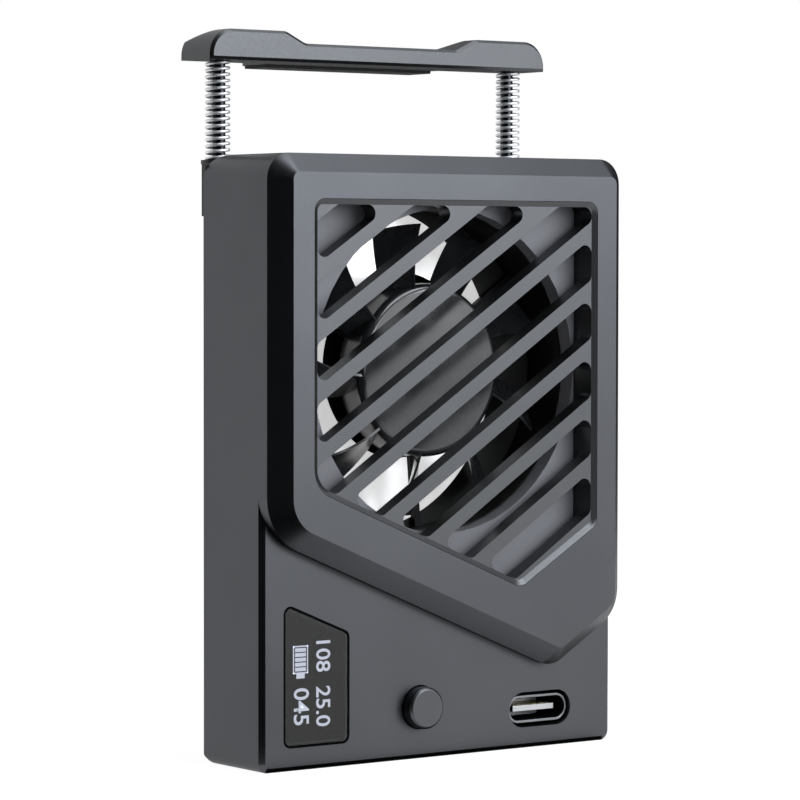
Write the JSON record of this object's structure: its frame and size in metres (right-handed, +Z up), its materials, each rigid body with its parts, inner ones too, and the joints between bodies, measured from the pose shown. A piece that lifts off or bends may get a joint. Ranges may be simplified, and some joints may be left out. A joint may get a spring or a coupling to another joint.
{
  "type": "phone cooling fan",
  "caption": "Clip-on phone cooler: boxy grey housing with slanted louvres over an axial fan, a cold plate behind, and a sprung bar that clamps the phone.",
  "frame": {"origin": "on the rest face, under the middle of the object's width and whole depth", "axes": "+X to the right as seen from the grille, +Y to the rear where the phone lies, +Z up towards the sprung bar"},
  "size_m": [0.0512, 0.027, 0.0846],
  "materials": {
    "housing_paint": "satin grey metallic paint on a moulded shell",
    "grille_paint": "satin grey metallic paint, a little lighter",
    "bar_paint": "satin grey metallic paint",
    "rear_plastic": "matt dark grey",
    "black_plastic": "matt black",
    "rotor_plastic": "black with a soft sheen",
    "button_plastic": "satin grey",
    "plunger_plastic": "natural white",
    "screw_steel": "plain steel",
    "rod_steel": "blackened steel",
    "spring_steel": "bright spring wire",
    "socket_steel": "bright steel",
    "bush_brass": "plain turned brass",
    "magnet": "dull",
    "core_steel": "laminated steel",
    "circuit_board": "green solder mask",
    "bright_aluminium": "bright satin",
    "ceramic": "white ceramic",
    "soft_pad": "soft grey",
    "grip_rubber": "matt black",
    "sensor_bead": "epoxy",
    "lens": "smoked clear",
    "display": "dark segments display",
    "cell_foil": "foil pouch"
  },
  "bodies": {
    "housing": {"front_shell": "housing_paint", "grille": "grille_paint", "fan_shroud": "housing_paint", "fan_frame": "black_plastic", "bearing": "bush_brass", "stator": "core_steel", "fan_board": "circuit_board", "fan_screws": "screw_steel", "heat_sink": "bright_aluminium", "thermoelectric_module": "ceramic", "cold_plate": "bright_aluminium", "plate_screws": "screw_steel", "thermal_pad": "soft_pad", "temperature_sensor": "sensor_bead", "rear_cover": "rear_plastic", "cover_screws": "screw_steel", "lower_jaw": "rear_plastic", "lower_jaw_pad": "grip_rubber", "jaw_screws": "screw_steel", "guide_bushes": "black_plastic", "left_spring": "spring_steel", "right_spring": "spring_steel", "tactile_switch": "black_plastic", "usb_shell": "socket_steel", "usb_tongue": "black_plastic", "display_window": "lens", "display_module": "display", "main_board": "circuit_board", "board_screws": "screw_steel", "battery": "cell_foil"},
    "rotor": {"fan_rotor": "rotor_plastic", "rotor_shaft": "screw_steel", "magnet_ring": "magnet"},
    "button": {"button_cap": "button_plastic", "switch_plunger": "plunger_plastic"},
    "clamp": {"clamp_bar": "bar_paint", "clamp_pad": "grip_rubber", "left_rod": "rod_steel", "right_rod": "rod_steel", "rod_stop_rings": "screw_steel", "bar_screws": "screw_steel"}
  },
  "joints": [
    {"name": "fan_spin", "type": "hinge", "parent": "housing", "child": "rotor", "pos_m": [0.0008, 0, 0.04505], "axis": [0, 1, 0], "continuous": true},
    {"name": "button_press", "type": "slide", "parent": "housing", "child": "button", "axis": [0, 1, 0], "range_m": [0, 0.0005], "stiffness_N_per_m": 600, "springref_m": -0.0005},
    {"name": "clamp_slide", "type": "slide", "parent": "housing", "child": "clamp", "axis": [0, 0, 1], "range_m": [-0.005, 0.006], "stiffness_N_per_m": 530, "deforming": ["left_spring", "right_spring"]}
  ]
}
